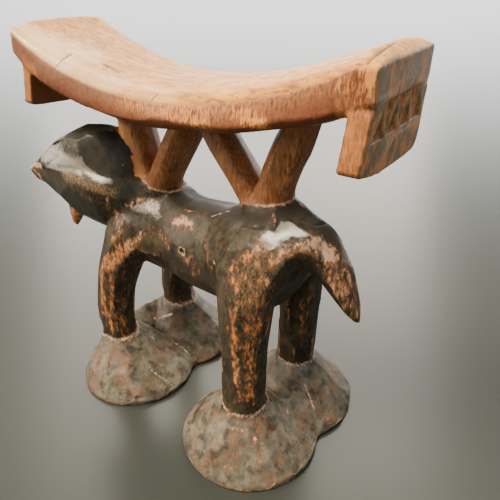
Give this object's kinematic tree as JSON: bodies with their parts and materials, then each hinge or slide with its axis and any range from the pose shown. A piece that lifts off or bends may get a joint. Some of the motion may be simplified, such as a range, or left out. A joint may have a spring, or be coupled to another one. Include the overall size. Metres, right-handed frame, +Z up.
{
  "type": "carved headrest",
  "caption": "Carved wooden headrest: a curved pillow with hanging end lugs on forked posts, borne by a standing animal with cone feet, a turned head and a hooked tail.",
  "frame": {"origin": "on the ground, under the middle of the whole carving", "axes": "+Z up, +X along the animal from its head to its tail, -Y towards the animal's left side"},
  "size_m": [0.168, 0.098, 0.1739],
  "materials": {
    "carved_wood": "dark stained and oiled wood, rubbed to tan on the pillow and to orange on the ridges"
  },
  "bodies": {
    "root": {"headrest": "carved_wood"}
  },
  "joints": []
}
